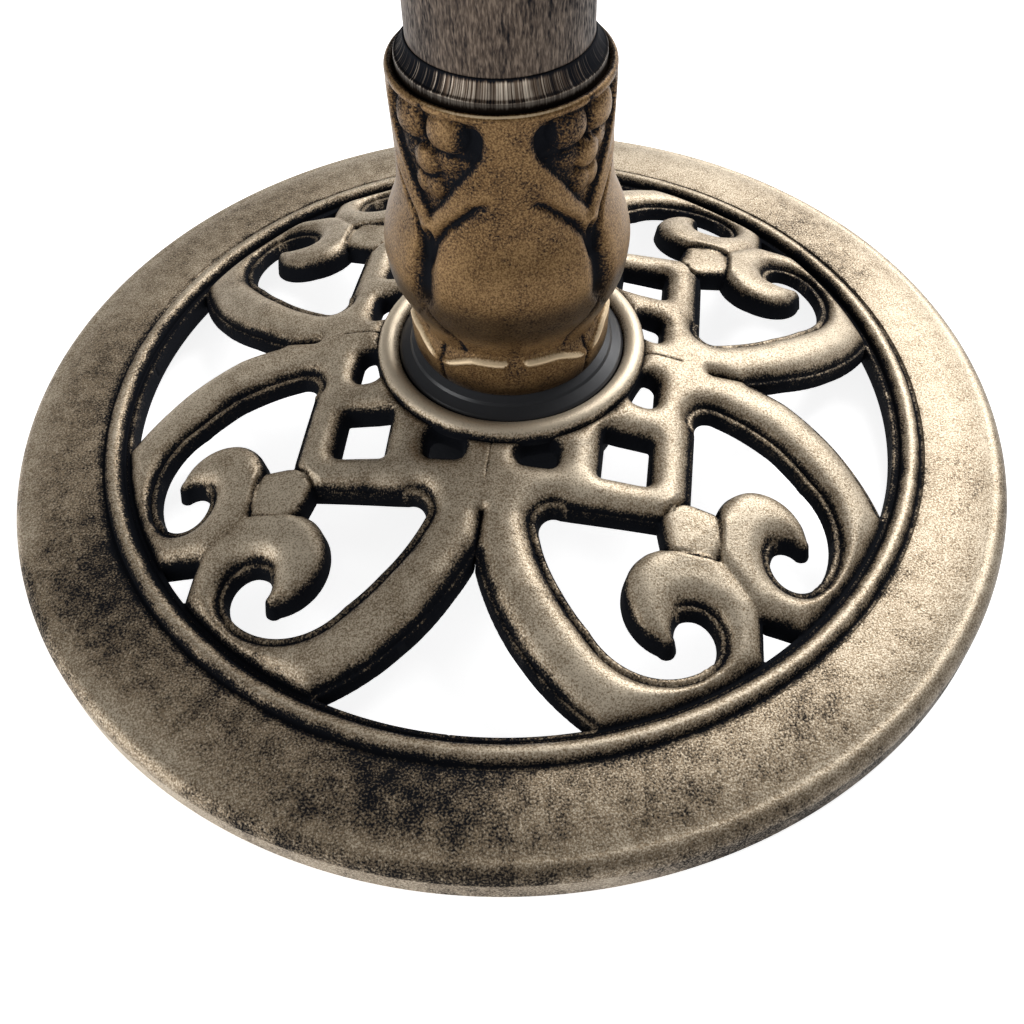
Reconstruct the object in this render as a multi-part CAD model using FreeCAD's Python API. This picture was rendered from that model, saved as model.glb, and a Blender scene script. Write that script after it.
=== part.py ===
import FreeCAD, Part
import math
import os

V = FreeCAD.Vector

# ---------------------------------------------------------------- overall sizes (mm)
BASE_R = 200.0          # outside radius of the cast base
TUBE_TOP_H = 320.0      # top end of the stand tube above the floor
TUBE_R = 29.25          # outside radius of the stand tube
PAD_LIFT = 2.5          # how far the rubber pads hold the casting off the floor

# ---------------------------------------------------------------- casting: rim
RIM_W = 46.0            # rim, from its outer edge to the openwork
RIM_EDGE_H = 14.8       # top of the rim at its outer corner, above its own underside
RIM_EDGE_ROUND = 6.3
RIM_IN_H = 17.0         # top of the rim where the openwork starts
RIM_LAND_W = 28.0       # flat underside ring that carries the pads
BEAD_OFFSET = 6.7       # centre of the raised bead outside the rim's inner edge
BEAD_W = 7.4
BEAD_RISE = 3.4
WALL = 9.0              # thickness of the openwork, measured upright

# ---------------------------------------------------------------- casting: openwork
# the scroll pattern is drawn for a rim inner radius of PATTERN_R and scaled to the real one
PATTERN_R = 154.0
HUB_R = TUBE_R + 22.05  # outside of the beaded hub ring
BAND_W = 21.0           # width of the band and bars, measured along x
BAND_IN = HUB_R + 31.2  # x + y on the inner line of the square band round the hub
BAND_OUT = BAND_IN + BAND_W         # x + y on its outer line
BAR_IN = HUB_R + 4.7    # x - y on the outer line of the bars that cross at the hub
BAR_OUT = BAR_IN - BAND_W           # x - y on their inner line
BLOCK_HALF = 9.5        # half width of the block that ties hub and band at each node
PATTERN_TURN = -9.4     # turn of the whole pattern about the centre, degrees
PANELS = 4

# ---------------------------------------------------------------- casting: hub
HUB_H = 52.3            # crest of the bead above the casting's underside
HUB_SHOULDER_H = 46.5   # openwork height where it meets the hub
HUB_BEAD_W = 7.3
RECESS_H = 46.0         # floor of the recess inside the bead
WEB_T = 12.0            # web under the recess that the bolt clamps
CUP_R = 36.0            # hollow under the web
BOSS_WALL = 8.0
BOSS_FOOT_H = 10.0      # how far the boss ends above the rim's underside

# ---------------------------------------------------------------- tube and its foot
TUBE_WALL = 1.75
PLUG_T = 12.0
BOLT_R = 6.0
BOLT_HEAD_AF = 19.0
BOLT_HEAD_H = 7.5
BOLT_END = 3.0          # bolt end stops this far under the plug's top
WASHER_R = 20.0
WASHER_T = 3.0
SPRING_WASHER_R = 10.3
SPRING_WASHER_T = 3.0

# ---------------------------------------------------------------- ornament sleeve
SEAT_R = HUB_R - HUB_BEAD_W - 0.4   # black seat between hub and sleeve
SEAT_STEP_R = TUBE_R + 9.25
SEAT_EDGE_T = 4.6
SEAT_STEP_T = 7.7
SEAT_T = 9.7            # height under the sleeve
SLEEVE_H = 114.9
SLEEVE_RIM_R = TUBE_R + 5.55
COLLAR_SEAT_R = TUBE_R + 4.35       # counterbore in the sleeve's mouth for the collar
COLLAR_SEAT_DEPTH = 6.0
COLLAR_RISE = 8.2       # collar above the sleeve's rim
COLLAR_BAND = 3.0       # upright part of that, under the cove
# outline of the sleeve: (height as a share of SLEEVE_H, distance out from the tube)
SLEEVE_SHAPE = [(0.0, 5.75), (0.03, 7.65), (0.09, 8.05), (0.15, 6.45), (0.21, 8.15), (0.3, 12.75), (0.39, 14.35),
                (0.47, 13.35), (0.56, 9.55), (0.65, 7.25), (0.8, 7.05), (0.93, 7.35), (0.985, 6.95)]

# ---------------------------------------------------------------- pole fittings
POLE_R = 24.0           # largest pole
POLE_STEP = 5.0         # radius that the reducer takes off it
POLE_SMALL_R = POLE_R - POLE_STEP
POLE_PLAY = 0.3         # radial play round either pole
SEAT_CUP_FLOOR = 4.0
SEAT_CUP_STEP = 16.0    # depth for the small pole
SEAT_CUP_RIM = 18.0     # further depth for the large pole
DRAIN_R = 4.0
GUIDE_LEN = 40.0        # guide bush inside the tube's mouth
CAP_OVER = 14.0         # trim ring, how far it comes down over the tube
CAP_WALL = 2.4
CAP_TOP = 3.5
REDUCER_LEN = 36.0
REDUCER_FLANGE_R = TUBE_R - 0.25
REDUCER_FLANGE_T = 3.0
REDUCER_GAP = 0.25      # radial gap of the lift-out reducer in the guide

# ---------------------------------------------------------------- clamp
CLAMP_DROP = 68.0       # stud axis under the tube's top end
CLAMP_H = TUBE_TOP_H - CLAMP_DROP
BOSS_R = 11.0
BOSS_LEN = 13.0         # beyond the tube's surface
STUD_R = 5.0
STUD_PLAY = 0.05
STUD_TIP_R = 2.6
STUD_TIP_LEN = 4.0
PAD_R = 4.6
PAD_LEN = 7.0
PAD_RETRACT = 0.6       # pad face behind the large pole at rest
KNOB_R = 24.0
KNOB_T = 17.0
KNOB_LOBES = 6
KNOB_NECK_R = 11.5
KNOB_NECK_LEN = 8.0
KNOB_STANDOFF = 9.0     # gap between boss and knob at rest, more than the travel
INSERT_R = 7.5
INSERT_LEN = 15.0
KNOB_CAP_R = 9.0
KNOB_CAP_T = 2.0

# ---------------------------------------------------------------- fits
GAP = 0.3               # parts that slip over each other
FIT = 0.05              # located parts
RUB_R = 10.0            # rubber pad radius
RUB_POCKET = 2.0        # pocket depth
RUB_GAP = 0.3
RUB_INSET = 13.0        # pad centre inside the rim's outer edge

rim_in_r = BASE_R - RIM_W
scale = rim_in_r / PATTERN_R
z0 = PAD_LIFT           # the casting's own underside


def revolve(points):
    """Solid of revolution about Z from a closed outline of (r, z) lines and arcs.

    A point with four values is an arc's end: (r, z, r of a middle point, z of that point)."""
    edges = []
    first = last = V(points[0][0], 0, points[0][1])
    for p in points[1:] + [points[0][:2]]:
        end = V(p[0], 0, p[1])
        if (end - last).Length < 1e-6:
            continue
        if len(p) == 4:
            edges.append(Part.Arc(last, V(p[2], 0, p[3]), end).toShape())
        else:
            edges.append(Part.makeLine(last, end))
        last = end
    face = Part.Face(Part.Wire(edges))
    return face.revolve(V(0, 0, 0), V(0, 0, 1), 360)


def ring(r_in, r_out, z_low, z_high):
    return revolve([(r_in, z_low), (r_out, z_low), (r_out, z_high), (r_in, z_high)])


def turned(shape, degrees):
    copy = shape.copy()
    copy.rotate(V(0, 0, 0), V(0, 0, 1), degrees)
    return copy


def outline(start, steps, flip=1):
    """Closed flat face from a start point and steps: (x, y) is a line, (mx, my, x, y) an arc."""
    edges = []
    last = V(start[0], flip * start[1], 0)
    for s in steps + [start]:
        end = V(s[-2], flip * s[-1], 0)
        if (end - last).Length < 1e-6:
            continue
        if len(s) == 4:
            edges.append(Part.Arc(last, V(s[0], flip * s[1], 0), end).toShape())
        else:
            edges.append(Part.makeLine(last, end))
        last = end
    return Part.Face(Part.Wire(edges))


def rounded(corners, radius):
    """Closed flat face with every corner rounded by the same radius."""
    n = len(corners)
    start, steps = None, []
    for i in range(n):
        c = V(*corners[i], 0)
        a = (V(*corners[i - 1], 0) - c).normalize()
        b = (V(*corners[(i + 1) % n], 0) - c).normalize()
        half = math.acos(max(-1.0, min(1.0, a.dot(b)))) / 2
        t = radius / math.tan(half)
        p, q = c + a * t, c + b * t
        middle = (a + b).normalize()
        m = c + middle * (radius / math.sin(half) - radius)
        if start is None:
            start = (p.x, p.y)
        else:
            steps.append((p.x, p.y))
        steps.append((m.x, m.y, q.x, q.y))
    return outline(start, steps)


def save(shape, name):
    shape.exportStep("parts/%s.step" % name)
    return shape


os.makedirs("parts", exist_ok=True)

# ================================================================ base casting
# height of the openwork's top: (share of the way from hub to rim, share of the rise)
DOME = [(0.0, 1.0), (0.09, 0.86), (0.30, 0.71), (0.40, 0.67), (0.56, 0.55), (0.77, 0.33), (1.0, 0.0)]
dome = [(HUB_R + t * (rim_in_r - HUB_R), RIM_IN_H + s * (HUB_SHOULDER_H - RIM_IN_H)) for t, s in DOME]
bead_r = rim_in_r + BEAD_OFFSET
boss_r = CUP_R + BOSS_WALL
e = RIM_EDGE_ROUND
k = math.sqrt(0.5)
hub_in_r = HUB_R - HUB_BEAD_W
profile = [
    (BOLT_R + 0.75, RECESS_H), (hub_in_r, RECESS_H), (hub_in_r, HUB_H - 2.6),
    (HUB_R, HUB_SHOULDER_H + 1.5, HUB_R - 0.5 * HUB_BEAD_W, HUB_H),
]
profile += dome
profile += [
    (bead_r - BEAD_W / 2, RIM_IN_H + 0.6),
    (bead_r + BEAD_W / 2, RIM_IN_H + 0.8, bead_r, RIM_IN_H + 0.6 + BEAD_RISE),
    (bead_r + BEAD_W / 2 + 2.0, RIM_IN_H + 1.2),
    (BASE_R - e, RIM_EDGE_H),
    (BASE_R, RIM_EDGE_H - e, BASE_R - e + e * k, RIM_EDGE_H - e + e * k),
    (BASE_R, 0.0), (BASE_R - RIM_LAND_W, 0.0), (rim_in_r + 4.0, RIM_IN_H - WALL - 1.0),
]
profile += [(r, z - WALL) for r, z in reversed(dome[1:])]
profile += [
    (boss_r, RECESS_H - WEB_T - 1.0), (boss_r, BOSS_FOOT_H), (CUP_R, BOSS_FOOT_H),
    (CUP_R, RECESS_H - WEB_T), (BOLT_R + 0.75, RECESS_H - WEB_T),
]
casting = revolve([tuple(p[i] + (z0 if i % 2 else 0.0) for i in range(len(p))) for p in profile])

# openings of one panel, drawn with the panel's own axis along +X
mid = BAND_OUT / 2
heart_steps = [
    (mid + 19.55, mid - 19.55), (mid + 16.35, mid - 14.55, 72.2, 43.8), (90.0, 50.4, 112.0, 52.3),
    (135.2, 45.0, 144.3, 27.0), (134.8, 15.3, 125.0, 23.2), (127.0, 28.0, 131.2, 30.4),
    (132.6, 33.0, 129.8, 35.6), (120.5, 38.6, 111.0, 36.0), (103.2, 25.0, 105.3, 12.2),
]
heart_start = (mid + 44.75, mid - 44.75)
rim_a = math.radians(27.2)
rim_p = (PATTERN_R * math.cos(rim_a), PATTERN_R * math.sin(rim_a))
diag = PATTERN_R * k
tri_y = 9.0
tri_x = math.sqrt(PATTERN_R ** 2 - tri_y ** 2)
openings = [
    outline(heart_start, heart_steps),
    outline(heart_start, heart_steps, flip=-1),
    # spandrel between two petals, centred on the node line at 45 degrees
    outline((66.5, 66.5), [(102.0, 75.8, rim_p[0], rim_p[1]), (diag, diag, rim_p[1], rim_p[0]),
                           (75.8, 102.0, 66.5, 66.5)]),
    # small opening behind the heart's point
    outline((143.5, 0.0), [(149.6, 5.4, tri_x, tri_y), (PATTERN_R, 0.0, tri_x, -tri_y),
                           (149.6, -5.4, 143.5, 0.0)]),
    # square hole on the panel's axis
    rounded([(BAND_IN, 0.0), ((BAND_IN + BAR_IN) / 2, (BAND_IN - BAR_IN) / 2), (BAR_IN, 0.0),
             ((BAND_IN + BAR_IN) / 2, -(BAND_IN - BAR_IN) / 2)], 1.5),
]
# D-shaped holes on both sides of each node block, cut off by the hub ring
b = BLOCK_HALF / k
near = HUB_R * k / scale
d_face = rounded([((BAND_IN + BAR_OUT) / 2, (BAND_IN - BAR_OUT) / 2), ((BAND_IN + b) / 2, (BAND_IN - b) / 2),
                  (near * 0.9 + b / 2, near * 0.9 - b / 2), (near * 0.9 + BAR_OUT / 2, near * 0.9 - BAR_OUT / 2)], 3.5)
hub_keep = Part.makeCylinder(HUB_R + 0.6, 200.0, V(0, 0, -50))


def prism(face):
    m = FreeCAD.Matrix()
    m.scale(scale, scale, 1.0)
    solid = face.extrude(V(0, 0, 150)).transformGeometry(m) if abs(scale - 1) > 1e-9 else face.extrude(V(0, 0, 150))
    solid.translate(V(0, 0, -20))
    return solid


cutters = [prism(f) for f in openings]
d_hole = prism(d_face).cut(hub_keep)
cutters += [d_hole, d_hole.mirror(V(0, 0, 0), V(0, 1, 0))]
pattern = []
for i in range(PANELS):
    a = 45.0 + PATTERN_TURN + i * 360.0 / PANELS
    pattern += [turned(c, a) for c in cutters]
casting = casting.cut(pattern)

# pockets for the rubber pads
pad_ring_r = BASE_R - RUB_INSET
pad_spots = [45.0 + PATTERN_TURN + i * 360.0 / PANELS for i in range(PANELS)]
pockets = [turned(Part.makeCylinder(RUB_R + RUB_GAP, RUB_POCKET, V(pad_ring_r, 0, z0)), a) for a in pad_spots]
casting = casting.cut(pockets)
save(casting, "base_casting")

pads = []
for a in pad_spots:
    pad = Part.makeCylinder(RUB_R, PAD_LIFT + RUB_POCKET, V(pad_ring_r, 0, 0))
    low = [ed for ed in pad.Edges if abs(ed.BoundBox.ZMax) < 1e-6]
    pads.append(turned(pad.makeChamfer(0.6, low), a))
save(Part.makeCompound(pads), "foot_pads")

# ================================================================ tube, plug and centre bolt
recess_z = z0 + RECESS_H
tube_in_r = TUBE_R - TUBE_WALL
clamp_hole = Part.makeCylinder(STUD_R + 0.8, 2 * TUBE_R, V(0, 0, CLAMP_H), V(1, 0, 0))
tube = ring(tube_in_r, TUBE_R, recess_z, TUBE_TOP_H).cut(clamp_hole)
save(tube, "stand_tube")

plug_top = recess_z + PLUG_T
plug = revolve([(BOLT_R + FIT, recess_z), (tube_in_r - FIT, recess_z), (tube_in_r - FIT, plug_top - 1.0),
                (tube_in_r - FIT - 1.0, plug_top), (BOLT_R + FIT, plug_top)])
save(plug, "tube_foot_plug")

web_low = recess_z - WEB_T
save(ring(BOLT_R + 0.5, WASHER_R, web_low - WASHER_T, web_low), "bolt_washer")
lock_top = web_low - WASHER_T
lock = ring(BOLT_R + 0.3, SPRING_WASHER_R, lock_top - SPRING_WASHER_T, lock_top)
slot = Part.makeBox(SPRING_WASHER_R, 1.2, SPRING_WASHER_T, V(0, -0.6, lock_top - SPRING_WASHER_T))
save(lock.cut(slot), "spring_washer")

head_top = lock_top - SPRING_WASHER_T
hex_r = BOLT_HEAD_AF / 2 / math.cos(math.pi / 6)
hex_pts = [V(hex_r * math.cos(math.radians(60 * i)), hex_r * math.sin(math.radians(60 * i)), head_top - BOLT_HEAD_H)
           for i in range(7)]
head = Part.Face(Part.makePolygon(hex_pts)).extrude(V(0, 0, BOLT_HEAD_H))
crown = revolve([(0, head_top - BOLT_HEAD_H), (hex_r - 1.4, head_top - BOLT_HEAD_H),
                 (hex_r, head_top - BOLT_HEAD_H + 0.9), (hex_r, head_top), (0, head_top)])
shank = revolve([(0, head_top), (BOLT_R, head_top), (BOLT_R, plug_top - BOLT_END - 1.0),
                 (BOLT_R - 1.0, plug_top - BOLT_END), (0, plug_top - BOLT_END)])
save(head.common(crown).fuse(shank).removeSplitter(), "centre_bolt")

# ================================================================ seat, ornament sleeve, collar
bore_r = TUBE_R + GAP
foot_r = TUBE_R + SLEEVE_SHAPE[0][1]
seat_z = recess_z + SEAT_T
seat = revolve([(bore_r, recess_z), (SEAT_R, recess_z), (SEAT_R, recess_z + SEAT_EDGE_T - 0.8),
                (SEAT_R - 0.8, recess_z + SEAT_EDGE_T), (SEAT_STEP_R + 0.8, recess_z + SEAT_STEP_T - 1.0),
                (SEAT_STEP_R, recess_z + SEAT_STEP_T), (foot_r + 0.6, seat_z), (bore_r, seat_z)])
save(seat, "sleeve_seat")

rim_z = seat_z + SLEEVE_H
spline = Part.BSplineCurve()
spline.interpolate([V(TUBE_R + w, 0, seat_z + t * SLEEVE_H) for t, w in SLEEVE_SHAPE])
last_r, last_z = TUBE_R + SLEEVE_SHAPE[-1][1], seat_z + SLEEVE_SHAPE[-1][0] * SLEEVE_H
corner = [V(last_r, 0, last_z), V(SLEEVE_RIM_R, 0, rim_z), V(COLLAR_SEAT_R, 0, rim_z),
          V(COLLAR_SEAT_R, 0, rim_z - COLLAR_SEAT_DEPTH), V(bore_r, 0, rim_z - COLLAR_SEAT_DEPTH),
          V(bore_r, 0, seat_z), V(foot_r, 0, seat_z)]
edges = [spline.toShape()] + [Part.makeLine(p, q) for p, q in zip(corner, corner[1:])]
sleeve = Part.Face(Part.Wire(edges)).revolve(V(0, 0, 0), V(0, 0, 1), 360)
save(sleeve, "column_sleeve")

collar_low = rim_z - COLLAR_SEAT_DEPTH
collar_r = COLLAR_SEAT_R - GAP
collar = revolve([(TUBE_R + FIT, collar_low), (collar_r, collar_low), (collar_r, rim_z + COLLAR_BAND),
                  (TUBE_R + 0.7, rim_z + COLLAR_RISE, TUBE_R + 1.9, rim_z + 0.6 * COLLAR_RISE),
                  (TUBE_R + FIT, rim_z + COLLAR_RISE)])
save(collar, "tube_collar")

# ================================================================ pole seat, guide, cap, reducer
big_r = POLE_R + POLE_PLAY
small_r = POLE_SMALL_R + POLE_PLAY
cup_floor = plug_top + SEAT_CUP_FLOOR
cup_step = cup_floor + SEAT_CUP_STEP
cup_top = cup_step + SEAT_CUP_RIM
cup = revolve([(DRAIN_R, plug_top), (tube_in_r - FIT - 1.4, plug_top), (tube_in_r - FIT, plug_top + 1.4),
               (tube_in_r - FIT, cup_top), (big_r + 1.2, cup_top), (big_r, cup_top - 2.5), (big_r, cup_step),
               (small_r + 1.0, cup_step), (small_r, cup_step - 1.0), (small_r, cup_floor), (DRAIN_R, cup_floor)])
save(cup, "pole_seat_cup")

guide = revolve([(big_r, TUBE_TOP_H - GUIDE_LEN), (tube_in_r - FIT - 0.8, TUBE_TOP_H - GUIDE_LEN),
                 (tube_in_r - FIT, TUBE_TOP_H - GUIDE_LEN + 2.0), (tube_in_r - FIT, TUBE_TOP_H),
                 (big_r, TUBE_TOP_H)])
save(guide, "pole_guide")

cap_top = TUBE_TOP_H + CAP_TOP
cap_r = TUBE_R + FIT + CAP_WALL
cap = revolve([(TUBE_R + FIT, TUBE_TOP_H - CAP_OVER), (cap_r - 0.8, TUBE_TOP_H - CAP_OVER),
               (cap_r, TUBE_TOP_H - CAP_OVER + 0.8), (cap_r, cap_top - 1.8),
               (cap_r - 1.8, cap_top, cap_r - 1.8 * (1 - k), cap_top - 1.8 * (1 - k)),
               (big_r, cap_top), (big_r, TUBE_TOP_H), (TUBE_R + FIT, TUBE_TOP_H)])
save(cap, "tube_cap")

red_out = big_r - REDUCER_GAP
red_low = cap_top - REDUCER_LEN
red_top = cap_top + REDUCER_FLANGE_T
reducer = revolve([(small_r, red_low), (red_out - 0.8, red_low), (red_out, red_low + 1.6), (red_out, cap_top),
                   (REDUCER_FLANGE_R, cap_top), (REDUCER_FLANGE_R, red_top - 1.2), (REDUCER_FLANGE_R - 1.2, red_top),
                   (small_r + 1.0, red_top), (small_r, red_top - 1.0)])
save(reducer, "pole_reducer")

# ================================================================ clamp
def lathe_x(points, x_start=0.0):
    """Solid of revolution about the clamp's axis, along +X at CLAMP_H, from (x, r) points."""
    solid = revolve([(r, x) for x, r in points])
    solid.rotate(V(0, 0, 0), V(0, 1, 0), 90)
    solid.translate(V(x_start, 0, CLAMP_H))
    return solid


boss_end = TUBE_R + BOSS_LEN
boss = lathe_x([(tube_in_r, STUD_R + STUD_PLAY), (tube_in_r, BOSS_R), (boss_end - 1.0, BOSS_R),
                (boss_end, BOSS_R - 1.0), (boss_end, STUD_R + STUD_PLAY)])
boss = boss.cut(Part.makeCylinder(TUBE_R, 80.0, V(0, 0, CLAMP_H - 40.0)))
save(boss, "clamp_boss")

pad_face = big_r + PAD_RETRACT
pad_back = pad_face + PAD_LEN
pad_solid = lathe_x([(pad_face, 0.0), (pad_face, PAD_R - 0.8), (pad_face + 0.8, PAD_R), (pad_back, PAD_R),
                     (pad_back, STUD_TIP_R + STUD_PLAY), (pad_back - STUD_TIP_LEN - 0.2, STUD_TIP_R + STUD_PLAY),
                     (pad_back - STUD_TIP_LEN - 0.2, 0.0)])
save(pad_solid, "thrust_pad")

knob_in = boss_end + KNOB_STANDOFF
knob_face = knob_in + KNOB_NECK_LEN
knob_out = knob_face + KNOB_T
stud_back = knob_in + INSERT_LEN - 1.0
stud = lathe_x([(pad_back - STUD_TIP_LEN, 0.0), (pad_back - STUD_TIP_LEN, STUD_TIP_R), (pad_back + 0.1, STUD_TIP_R),
                (pad_back + 0.1, STUD_R - 1.0), (pad_back + 1.1, STUD_R), (stud_back, STUD_R), (stud_back, 0.0)])
save(stud, "clamp_stud")

insert = lathe_x([(knob_in, STUD_R + FIT), (knob_in, INSERT_R), (knob_in + INSERT_LEN, INSERT_R),
                  (knob_in + INSERT_LEN, 0.0), (stud_back, 0.0), (stud_back, STUD_R + FIT)])
save(insert, "knob_insert")

body = lathe_x([(knob_in, INSERT_R + FIT), (knob_in, KNOB_NECK_R), (knob_face, KNOB_NECK_R + 1.5),
                (knob_face, KNOB_R - 2.0), (knob_face + 2.0, KNOB_R), (knob_out - 3.0, KNOB_R),
                (knob_out, KNOB_R - 4.0), (knob_out, KNOB_CAP_R + FIT), (knob_out - KNOB_CAP_T, KNOB_CAP_R + FIT),
                (knob_out - KNOB_CAP_T, 0.0), (knob_in + INSERT_LEN, 0.0), (knob_in + INSERT_LEN, INSERT_R + FIT)])
hollow_r = math.pi * KNOB_R / KNOB_LOBES / 1.9
for i in range(KNOB_LOBES):
    a = 2 * math.pi * (i + 0.5) / KNOB_LOBES
    c = KNOB_R + 0.45 * hollow_r
    body = body.cut(Part.makeCylinder(hollow_r, KNOB_T + 4.0,
                                      V(knob_face - 2.0, c * math.cos(a), CLAMP_H + c * math.sin(a)), V(1, 0, 0)))
save(body, "knob_head")

knob_cap = lathe_x([(knob_out - KNOB_CAP_T, 0.0), (knob_out - KNOB_CAP_T, KNOB_CAP_R), (knob_out, KNOB_CAP_R - 0.4),
                    (knob_out + 0.8, 0.0, knob_out + 0.6, KNOB_CAP_R * 0.5)][:3] + [(knob_out + 0.6, 0.0)])
save(knob_cap, "knob_cap")
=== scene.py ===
import logging
import math
from dataclasses import dataclass
from enum import Enum
from typing import Iterable, Optional, Sequence, Union

import bpy
import numpy as np
from mathutils import Matrix, Vector

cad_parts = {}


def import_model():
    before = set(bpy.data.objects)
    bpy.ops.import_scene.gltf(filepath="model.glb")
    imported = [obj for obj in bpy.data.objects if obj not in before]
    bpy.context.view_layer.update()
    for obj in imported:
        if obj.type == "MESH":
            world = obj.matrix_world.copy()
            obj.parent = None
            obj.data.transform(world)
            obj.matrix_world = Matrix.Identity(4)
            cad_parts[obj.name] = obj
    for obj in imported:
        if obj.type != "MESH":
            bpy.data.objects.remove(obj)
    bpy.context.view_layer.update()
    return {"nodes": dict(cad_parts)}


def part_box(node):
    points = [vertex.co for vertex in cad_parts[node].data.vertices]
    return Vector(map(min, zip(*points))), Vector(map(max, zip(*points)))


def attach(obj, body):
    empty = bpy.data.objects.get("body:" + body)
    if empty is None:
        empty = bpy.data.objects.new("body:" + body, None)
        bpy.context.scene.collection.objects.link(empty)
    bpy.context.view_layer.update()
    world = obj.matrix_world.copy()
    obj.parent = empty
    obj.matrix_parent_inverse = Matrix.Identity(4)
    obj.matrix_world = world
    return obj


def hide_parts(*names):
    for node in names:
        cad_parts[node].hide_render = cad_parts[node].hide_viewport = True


log = logging.getLogger("parasol_base")
MM = 0.001
Point = tuple[float, float]
Colour = tuple[float, float, float]
Socket = bpy.types.NodeSocket
Value = Union[Socket, float]
# play of the sleeve and of the collar round the tube, in millimetres
SLEEVE_GAP, COLLAR_GAP = 0.3, 0.05


# -------- working in edit mode
def deselect_all() -> None:
    """Leave edit mode and clear the selection."""
    if bpy.context.object is not None and bpy.context.object.mode != "OBJECT":
        bpy.ops.object.mode_set(mode="OBJECT")
    bpy.ops.object.select_all(action="DESELECT")


def activate(piece: bpy.types.Object) -> None:
    """Select one object alone and make it active."""
    deselect_all()
    piece.select_set(True)
    bpy.context.view_layer.objects.active = piece


def read_points(piece: bpy.types.Object) -> np.ndarray:
    """Return a mesh's points, in metres, as an array of (n, 3)."""
    co = np.empty(len(piece.data.vertices) * 3)
    piece.data.vertices.foreach_get("co", co)
    return co.reshape(-1, 3)


def write_points(piece: bpy.types.Object, co: np.ndarray) -> None:
    """Put a mesh's points where the array says."""
    piece.data.vertices.foreach_set("co", np.ascontiguousarray(co, dtype=float).ravel())
    piece.data.update()


def set_layer(piece: bpy.types.Object, name: str, value: np.ndarray) -> None:
    """Store one value for each point of a mesh.

    Args:
        piece: the mesh.
        name: the wear layer (0 in a recess, 1 on a crest, up to 2 on polished crests and painted highlights, raised
            or lowered in places as painted light and shade) or the painted shade layer (0 to 1).
        value: one value for each point.
    """
    layer = piece.data.attributes.get(name) or piece.data.attributes.new(name, "FLOAT", "POINT")
    layer.data.foreach_set("value", np.clip(value, 0.0, 2.0).astype(np.float32))


def outward(piece: bpy.types.Object, merge: float = 1e-6) -> None:
    """Merge doubled points and turn every face outwards.

    Args:
        piece: the mesh.
        merge: distance under which points are one, in metres.
    """
    activate(piece)
    bpy.ops.object.mode_set(mode="EDIT")
    bpy.ops.mesh.select_all(action="SELECT")
    bpy.ops.mesh.remove_doubles(threshold=merge)
    bpy.ops.mesh.normals_make_consistent(inside=False)
    bpy.ops.object.mode_set(mode="OBJECT")


def smooth(piece: bpy.types.Object, degrees: float = 35.0) -> None:
    """Shade smooth, and keep edges sharper than an angle."""
    activate(piece)
    bpy.ops.object.shade_smooth_by_angle(angle=math.radians(degrees))


def lathe(name: str, outline: Sequence[Point], steps: int = 256) -> bpy.types.Object:
    """Spin a closed (radius, height) outline about an upright axis.

    Args:
        name: the piece's name.
        outline: points in millimetres, in order round the section.
        steps: copies of the outline round the turn.

    Returns:
        The closed ring of faces, pointing outwards.
    """
    deselect_all()
    bpy.ops.mesh.primitive_circle_add(vertices=len(outline), radius=0.01, fill_type="NOTHING")
    piece = bpy.context.object
    piece.name = piece.data.name = name
    write_points(piece, np.array([(r, 0.0, z) for r, z in outline]) * MM)
    activate(piece)
    bpy.ops.object.mode_set(mode="EDIT")
    bpy.ops.mesh.select_all(action="SELECT")
    bpy.ops.mesh.spin(steps=steps, angle=2 * math.pi, center=(0, 0, 0), axis=(0, 0, 1))
    bpy.ops.object.mode_set(mode="OBJECT")
    outward(piece)
    return piece


def arc(p: Point, m: Point, q: Point, gap: float = 0.3) -> list[Point]:
    """Return points along the arc from p through m to q, p left out.

    Args:
        p: start.
        m: a point on the way.
        q: end.
        gap: spacing of the points.
    """
    (ax, ay), (bx, by), (cx, cy) = p, m, q
    d = 2 * (ax * (by - cy) + bx * (cy - ay) + cx * (ay - by))
    if abs(d) < 1e-9:
        return line(p, q, gap)
    a2, b2, c2 = ax * ax + ay * ay, bx * bx + by * by, cx * cx + cy * cy
    ux = (a2 * (by - cy) + b2 * (cy - ay) + c2 * (ay - by)) / d
    uy = (a2 * (cx - bx) + b2 * (ax - cx) + c2 * (bx - ax)) / d
    r = math.hypot(ax - ux, ay - uy)
    turn = 1.0 if (bx - ax) * (cy - by) - (by - ay) * (cx - bx) > 0 else -1.0
    start = math.atan2(ay - uy, ax - ux)
    sweep = (turn * (math.atan2(cy - uy, cx - ux) - start)) % (2 * math.pi)
    n = max(2, int(math.ceil(sweep * r / gap)))
    angles = [start + turn * sweep * i / n for i in range(1, n + 1)]
    return [(ux + r * math.cos(t), uy + r * math.sin(t)) for t in angles]


def line(p: Point, q: Point, gap: float = 0.3) -> list[Point]:
    """Return evenly spaced points from p to q, p left out."""
    n = max(1, int(math.ceil(math.hypot(q[0] - p[0], q[1] - p[1]) / gap)))
    return [(p[0] + (q[0] - p[0]) * i / n, p[1] + (q[1] - p[1]) * i / n) for i in range(1, n + 1)]


def trace(start: Point, steps: Sequence[tuple[float, ...]], closed: bool = True) -> np.ndarray:
    """Return the dense points of an outline.

    Args:
        start: its first point.
        steps: (x, y) for a line to a point, (mx, my, x, y) for an arc through m to it.
        closed: whether a line goes back to the start.
    """
    pts, last = [start], start
    for s in list(steps) + ([start] if closed else []):
        end = (s[-2], s[-1])
        pts += arc(last, (s[0], s[1]), end) if len(s) == 4 else line(last, end)
        last = end
    return np.array(pts)


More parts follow.
